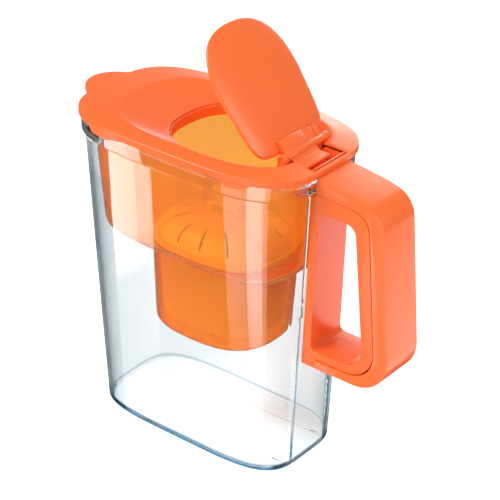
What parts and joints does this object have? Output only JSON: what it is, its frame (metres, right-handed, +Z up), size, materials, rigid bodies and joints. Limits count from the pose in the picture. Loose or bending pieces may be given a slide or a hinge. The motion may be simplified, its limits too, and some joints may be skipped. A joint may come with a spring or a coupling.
{
  "type": "water filter pitcher with flip lid",
  "caption": "Clear oblong water jug with a side loop handle, hanging reservoir, oval filter cartridge and a spouted lid with a hinged fill flap.",
  "frame": {"origin": "centre of the jug's flat base", "axes": "+Z up, +X towards the handle, -X towards the spout, +Y completes the right-handed frame"},
  "size_m": [0.2896, 0.1266, 0.3285],
  "materials": {
    "clear_plastic": "clear polished styrene plastic",
    "orange_plastic": "opaque orange plastic with a satin gloss",
    "amber_plastic": "see-through orange plastic",
    "white_plastic": "white moulded polypropylene",
    "seal_rubber": "pale soft silicone",
    "mesh": "fine plastic mesh",
    "felt": "off-white needle felt",
    "granules": "black carbon granules"
  },
  "bodies": {
    "jug": {"jug_body": "clear_plastic", "handle_shell": "orange_plastic", "handle_liner": "orange_plastic"},
    "reservoir": {"reservoir": "amber_plastic"},
    "lid": {"lid": "orange_plastic"},
    "flap": {"flap": "orange_plastic"},
    "cartridge": {"cartridge_housing": "white_plastic", "cartridge_cap": "white_plastic", "cartridge_seal": "seal_rubber", "inlet_screen": "mesh", "outlet_screen": "mesh", "felt_pad": "felt", "filter_media": "granules"}
  },
  "joints": [
    {"name": "reservoir_lift", "type": "slide", "parent": "jug", "child": "reservoir", "axis": [0, 0, 1], "range_m": [0, 0.17]},
    {"name": "lid_lift", "type": "slide", "parent": "reservoir", "child": "lid", "axis": [0, 0, 1], "range_m": [0, 0.06]},
    {"name": "cartridge_lift", "type": "slide", "parent": "reservoir", "child": "cartridge", "axis": [0, 0, 1], "range_m": [0, 0.05]},
    {"name": "flap_hinge", "type": "hinge", "parent": "lid", "child": "flap", "pos_m": [0.0685, 0, 0.2505], "axis": [0, 1, 0], "range_deg": [-51.8, 8]}
  ]
}
